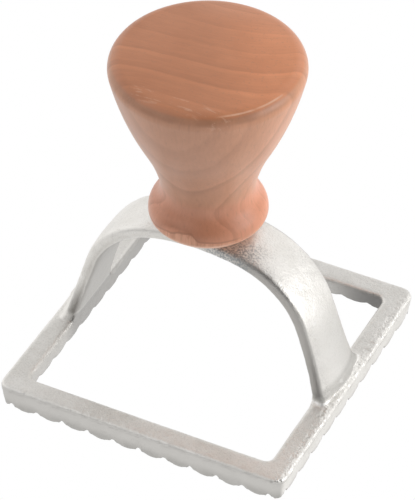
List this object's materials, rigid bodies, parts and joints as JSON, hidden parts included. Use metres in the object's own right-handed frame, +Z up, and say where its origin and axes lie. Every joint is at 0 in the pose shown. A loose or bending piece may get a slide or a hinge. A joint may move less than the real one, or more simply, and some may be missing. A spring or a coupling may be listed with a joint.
{
  "type": "ravioli stamp",
  "caption": "Square pasta cutter with a scalloped bevelled edge, an arched carrier cast in one piece with it and a turned wooden handle.",
  "frame": {"origin": "bottom centre, on the tips of the scallops", "axes": "+X along the arch, +Y through it, +Z up through the handle"},
  "size_m": [0.07, 0.07, 0.0871],
  "materials": {
    "cast_metal": "as cast, tumbled to a soft satin",
    "handle_wood": "turned beech, smooth and lightly waxed",
    "screw_steel": "plain bright steel"
  },
  "bodies": {
    "root": {"stamp_casting": "cast_metal", "handle": "handle_wood", "handle_screw": "screw_steel"}
  },
  "joints": []
}
